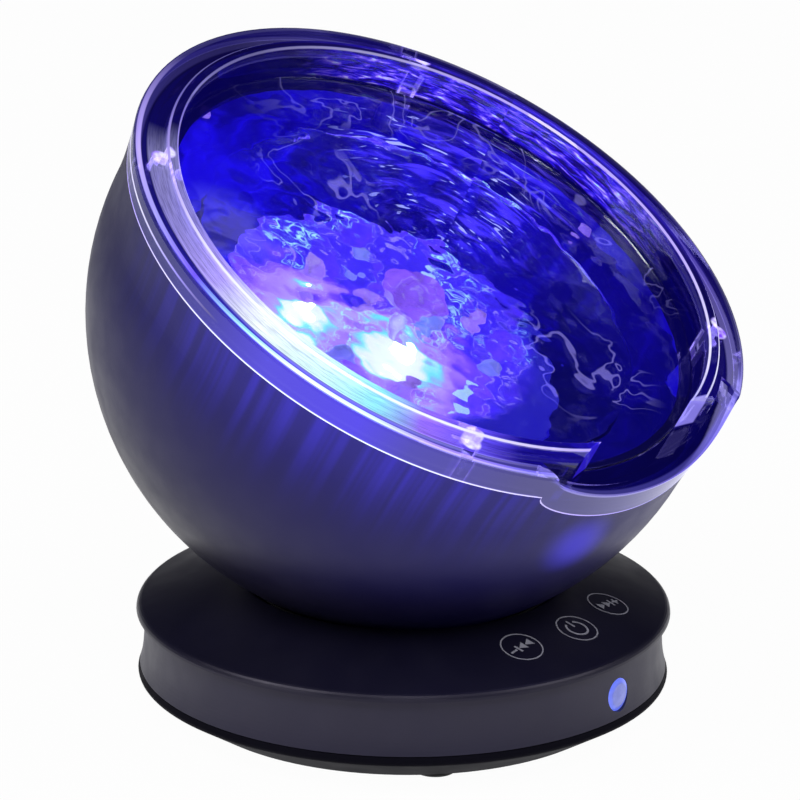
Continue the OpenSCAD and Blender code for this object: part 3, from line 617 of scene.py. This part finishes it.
def dress_frame(frame):
    """Give each CAD node that stays in the scene its finish."""
    screws = plain_finish("screw_zinc", (0.6, 0.6, 0.62), 0.35, 1.0)
    lit_screws = bathed("screw_lit", (0.3, 0.3, 0.4), (0.3, 0.16, 1.0), 0.9)
    tray = satin_plastic("tray_satin", (0.004, 0.0038, 0.0075), 0.6)
    tray.set(Specular_IOR_Level=0.04)
    finishes = {
        "base_top": satin_plastic("base_satin", (0.0055, 0.005, 0.017), 0.4),
        "base_band": satin_plastic("band_satin", (0.0145, 0.0138, 0.032), 0.46),
        "base_tray": tray,
        "rubber_feet": plain_finish("foot_rubber", (0.015, 0.015, 0.016), 0.75),
        "tray_screws": screws,
        "chamber_screws": lit_screws,
        "motor_screws": lit_screws,
        "receiver_window": lit_eye(),
        "ir_receiver": plain_finish("dark_epoxy", (0.02, 0.02, 0.022), 0.2),
        "control_board": plain_finish("green_mask", (0.03, 0.16, 0.07), 0.35),
        "touch_pads": plain_finish("copper_foil", (0.72, 0.42, 0.25), 0.35, 1.0),
        "power_jack": plain_finish("jack_black", (0.015, 0.015, 0.017), 0.4),
        "audio_jack": plain_finish("jack_grey", (0.02, 0.02, 0.022), 0.4),
        "speaker_frame": plain_finish("speaker_paint", (0.12, 0.12, 0.13), 0.45),
        "speaker_cone": plain_finish("cone_paper", (0.05, 0.05, 0.05), 0.85),
        "speaker_magnet": plain_finish("ferrite", (0.1, 0.1, 0.11), 0.7),
        "socket_pad": plain_finish("felt", (0.04, 0.04, 0.045), 0.95, scale=900),
        "neck_post": plain_finish("post_steel", (0.55, 0.55, 0.57), 0.3, 1.0),
        "tilt_saddle": plain_finish("saddle_white", (0.7, 0.7, 0.68), 0.4),
        "disc_springs": plain_finish("spring_steel", (0.4, 0.4, 0.42), 0.3, 1.0),
        "clamp_nut": plain_finish("nut_brass", (0.72, 0.56, 0.24), 0.3, 1.0),
        "head_shell": lit_shell(),
        "cover_rim": lit_rim(),
        "light_chamber": lit_chamber(),
        "lamp_board": lit_board(),
        "lamps_blue": lit_lamps(),
        "lamps_green": bathed("lamp_green_off", (0.1, 0.3, 0.6), (0.26, 0.24, 1.0), 1.0),
        "lamps_red": bathed("lamp_red_off", (0.2, 0.1, 0.6), (0.4, 0.22, 1.0), 1.0),
        "gear_motor": bathed("motor_lit", (0.4, 0.4, 0.5), (0.3, 0.16, 1.0), 0.9),
        "motor_shaft": bathed("shaft_lit", (0.4, 0.4, 0.5), (0.28, 0.11, 0.95), 1.0),
        "disc_hub": bathed("hub_lit", (0.2, 0.1, 0.6), (0.28, 0.11, 0.95), 1.1),
    }
    for name, finish in finishes.items():
        node = frame["nodes"][name]
        node.data.materials.clear()
        node.data.materials.append(finish.material)


def water(x, y, pattern):
    """Height of moulded water ripples at a point, from about -1 to 1: two wave trains and chop."""
    place = Vector((x / MM, y / MM, pattern))
    bend = noise.noise_vector(place * 0.05) * 6
    swell = math.sin((place.x * 0.35 + place.y * 0.75 + bend.x) * 0.6)
    cross = math.sin((place.x * 0.85 - place.y * 0.3 + bend.y) * 0.48)
    chop = noise.noise(place * 0.17 + bend * 0.12)
    fine = noise.noise(place * 0.4 + Vector((9, 4, 2)))
    return 0.26 * swell + 0.22 * cross + 0.5 * chop + 0.26 * fine


def make_mesh(name, points, faces, finish, body, smooth=0):
    """A piece of the scene; the first faces, as many as smooth says, are shaded smooth."""
    mesh = bpy.data.meshes.new(name)
    mesh.from_pydata(points, [], faces)
    mesh.update()
    for face in mesh.polygons[:smooth]:
        face.use_smooth = True
    piece = bpy.data.objects.new(name, mesh)
    bpy.context.collection.objects.link(piece)
    piece.data.materials.append(finish.material)
    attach(piece, body)
    return piece


def make_rippled(name, node, body, reach, bottom, top, ripple, pattern, finish):
    """Clear disc with moulded water ripples on its upper face and a flat back."""
    rings, sides = RIPPLE_RINGS, RIPPLE_SIDES
    circle = [(math.cos(math.tau * j / sides), math.sin(math.tau * j / sides)) for j in range(sides)]

    def at(i, j):
        return 1 + (i - 1) * sides + j % sides

    def level(x, y, calm=1.0):
        return top - ripple + ripple * calm * max(-1, min(1, water(x, y, pattern)))

    points = [head_point(0, 0, level(0, 0))]
    for i in range(1, rings + 1):
        r = reach * i / rings
        calm = min(1, (rings - i) / CALM_RINGS)
        for across, along in circle:
            x, y = r * across, r * along
            points.append(head_point(x, y, level(x, y, calm)))
    low = len(points)
    points += [head_point(reach * across, reach * along, bottom) for across, along in circle]
    faces = [(0, at(1, j), at(1, j + 1)) for j in range(sides)]
    faces += [(at(i, j), at(i + 1, j), at(i + 1, j + 1), at(i, j + 1))
              for i in range(1, rings) for j in range(sides)]
    rippled = len(faces)
    faces += [(at(rings, j), low + j, low + (j + 1) % sides, at(rings, j + 1)) for j in range(sides)]
    faces.append(tuple(low + j for j in reversed(range(sides))))
    disc = make_mesh(name, points, faces, finish, body, rippled)
    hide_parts(node)


def lift(dome, centre, mark):
    """Points just under and just over the top cover, at a mark in mm from a key's centre."""
    away = Vector(centre).normalized()
    flat = Vector(mark) * MM
    flat -= away * flat.dot(away) * (1 - math.cos(DOME_SLOPE))
    _, place, normal, _ = dome.ray_cast(Vector((*(Vector(centre) + flat), 1)), Vector((0, 0, -1)))
    return [place - normal * INK_SINK, place + normal * INK_RISE]


def ribbon(dome, centre, path, width, closed=False):
    """Points and faces of a thin printed line that follows the sloping top cover."""
    points, faces = [], []
    count = len(path)
    for k, mark in enumerate(path):
        before = path[(k - 1) % count] if closed or k > 0 else mark
        after = path[(k + 1) % count] if closed or k < count - 1 else mark
        run = (Vector(after) - Vector(before)).normalized()
        aside = Vector((-run.y, run.x)) * width / 2
        for side in (-1, 1):
            points += lift(dome, centre, Vector(mark) + side * aside)
    for k in range(count if closed else count - 1):
        here, there = 4 * k, 4 * ((k + 1) % count)
        faces += [(here + 1, there + 1, there + 3, here + 3), (here, here + 2, there + 2, there),
                  (here, there, there + 1, here + 1), (here + 2, here + 3, there + 3, there + 2)]
    if not closed:
        last = 4 * (count - 1)
        faces += [(0, 1, 3, 2), (last, last + 2, last + 3, last + 1)]
    return points, faces


def patch(dome, centre, outline):
    """Points and faces of a thin printed shape with the given outline."""
    points = [point for mark in outline for point in lift(dome, centre, mark)]
    count = len(outline)
    faces = [tuple(2 * k + 1 for k in range(count)), tuple(2 * k for k in reversed(range(count)))]
    for k in range(count):
        here, there = 2 * k, 2 * ((k + 1) % count)
        faces.append((here, there, there + 1, here + 1))
    return points, faces


def arc(radius, start, end, steps):
    """Points of an arc between two bearings in degrees."""
    angles = [math.radians(start + (end - start) * k / steps) for k in range(steps + 1)]
    return [(radius * math.cos(a), radius * math.sin(a)) for a in angles]


def skip_sign(way):
    """Generic sign in mm: two arrowheads, a bar, and a plus or a minus, towards +X or -X."""
    half, length, bar = 1.2, 2.0, 1.2
    tails = (-3.3, -1.1)
    dash = [(way * 1.8, 0), (way * 3.8, 0)]
    upright = [(2.8, -1.0), (2.8, 1.0)]
    lines = [[(way * bar, -half), (way * bar, half)], dash]
    if way > 0:
        lines.append(upright)
    heads = [[(way * (tail + length), 0), (way * tail, half), (way * tail, -half)] for tail in tails]
    return lines, [head if way < 0 else head[::-1] for head in heads]


def power_sign():
    """Generic sign in mm: an open ring with an upright bar in its gap."""
    return [arc(2.5, 120, 420, 32), [(0, 0.6), (0, 3.1)]], []


def print_keys(dome):
    """Three printed touch keys: rings with a power sign and two skip signs."""
    signs = [(-KEY_STEP, skip_sign(-1)), (0, power_sign()), (KEY_STEP, skip_sign(1))]
    ink = print_ink()
    for number, (bearing, (lines, shapes)) in enumerate(signs):
        centre = (KEY_RING * math.sin(bearing), -KEY_RING * math.cos(bearing))
        parts = [ribbon(dome, centre, arc(KEY_R, 0, 360, 72)[:-1], KEY_LINE, True)]
        parts += [ribbon(dome, centre, line, SIGN_LINE) for line in lines]
        parts += [patch(dome, centre, shape) for shape in shapes]
        points, faces = [], []
        for more, shape in parts:
            faces += [tuple(len(points) + k for k in face) for face in shape]
            points += more
        key = make_mesh("printed_key_%d" % number, points, faces, ink, "base")


def mirrored(g, rays):
    """1 for what shows in gloss or through glass."""
    return g.math("MAXIMUM", rays.outputs["Is Glossy Ray"], rays.outputs["Is Transmission Ray"])


def add_floor():
    """Pale floor that keeps the object's shadow, and looks white to the camera, in gloss and in glass."""
    g = Finish("pale_floor")
    g.set(Base_Color=FLOOR_COLOUR, Roughness=0.7)
    rays = g.add("ShaderNodeLightPath")
    glow = g.add("ShaderNodeEmission")
    glow.inputs["Color"].default_value = (1, 1, 1, 1)
    blend = g.add("ShaderNodeMixShader")
    near = g.span(g.distance(g.object_coords(), (0, 0, 0)), FLOOR_DIM, FLOOR_BRIGHT, FLOOR_FAR, 1.0)
    shown = g.math("MULTIPLY", mirrored(g, rays), near)
    seen = g.math("MAXIMUM", rays.outputs["Is Camera Ray"], shown)
    g.feed(blend.inputs["Fac"], g.math("MULTIPLY", seen, FLOOR_WHITE))
    g.feed(blend.inputs[1], g.shader.outputs[0])
    g.feed(blend.inputs[2], glow.outputs[0])
    g.feed(g.output.inputs["Surface"], blend.outputs[0])
    bpy.ops.mesh.primitive_plane_add(size=FLOOR_SIZE)
    floor = bpy.context.object
    floor.name = "floor"
    floor.data.materials.append(g.material)


def add_world():
    """Soft studio, dark overhead: white to the camera, and pale near the horizon in gloss and glass."""
    world = bpy.data.worlds.new("studio")
    bpy.context.scene.world = world
    world.use_nodes = True
    g = Graph(world.node_tree)
    rays = g.add("ShaderNodeLightPath")
    upward = g.split(g.add("ShaderNodeTexCoord").outputs["Generated"])[2]
    low = g.span(upward, PALE_BELOW, 0.0, 0.0, PALE_SHARE, "LINEAR")
    shown = g.math("MULTIPLY", mirrored(g, rays), low)
    seen = g.math("MAXIMUM", rays.outputs["Is Camera Ray"], shown)
    colour = g.mix(seen, g.ramp(upward, [HORIZON, OVERHEAD]), (1, 1, 1))
    g.feed(g.tree.nodes["Background"].inputs["Color"], colour)


def add_lamp(name, place, aim, size, power):
    """Soft square lamp at a place, turned towards its aim."""
    data = bpy.data.lights.new(name, "AREA")
    data.size = size
    data.energy = power
    lamp = bpy.data.objects.new(name, data)
    bpy.context.collection.objects.link(lamp)
    lamp.location = place
    lamp.rotation_euler = (Vector(aim) - Vector(place)).to_track_quat("-Z", "Y").to_euler()


def add_camera():
    """The photograph's viewpoint, with its slight roll."""
    back = Vector((math.sin(CAMERA_TURN) * math.cos(CAMERA_RISE),
                   -math.cos(CAMERA_TURN) * math.cos(CAMERA_RISE), math.sin(CAMERA_RISE)))
    turn = back.to_track_quat("Z", "Y")
    aim = Vector((0, 0, AIM_HEIGHT)) + turn @ Vector((AIM_RIGHT, AIM_UP, 0))
    data = bpy.data.cameras.new("camera")
    data.sensor_width = SENSOR_MM
    data.lens = FOCUS_PX * SENSOR_MM / FRAME_PX
    camera = bpy.data.objects.new("camera", data)
    bpy.context.collection.objects.link(camera)
    camera.location = aim + back * CAMERA_DISTANCE
    camera.rotation_euler = (turn @ Quaternion((0, 0, 1), CAMERA_ROLL)).to_euler()
    bpy.context.scene.camera = camera


def main():
    """Dress the frame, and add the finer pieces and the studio."""
    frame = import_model()
    bpy.context.scene.view_settings.view_transform = "Standard"
    dress_frame(frame)
    noise.seed_set(RIPPLE_SEED)
    make_rippled("rippled_window", "wave_window", "head", WINDOW_R, WINDOW_BOTTOM,
                 WINDOW_TOP, WINDOW_RIPPLE, WINDOW_PATTERN, lit_window())
    make_rippled("rippled_disc", "wave_disc", "wave_rotor", DISC_R, DISC_BOTTOM,
                 DISC_TOP, DISC_RIPPLE, DISC_PATTERN,
                 clear_plastic("disc_clear", (0.95, 0.96, 1.0), 0.01, 1.3))
    print_keys(frame["nodes"]["base_top"])
    add_floor()
    add_world()
    for name, (place, aim, size, power) in STUDIO_LAMPS.items():
        add_lamp(name, place, aim, size, power)
    add_camera()


main()
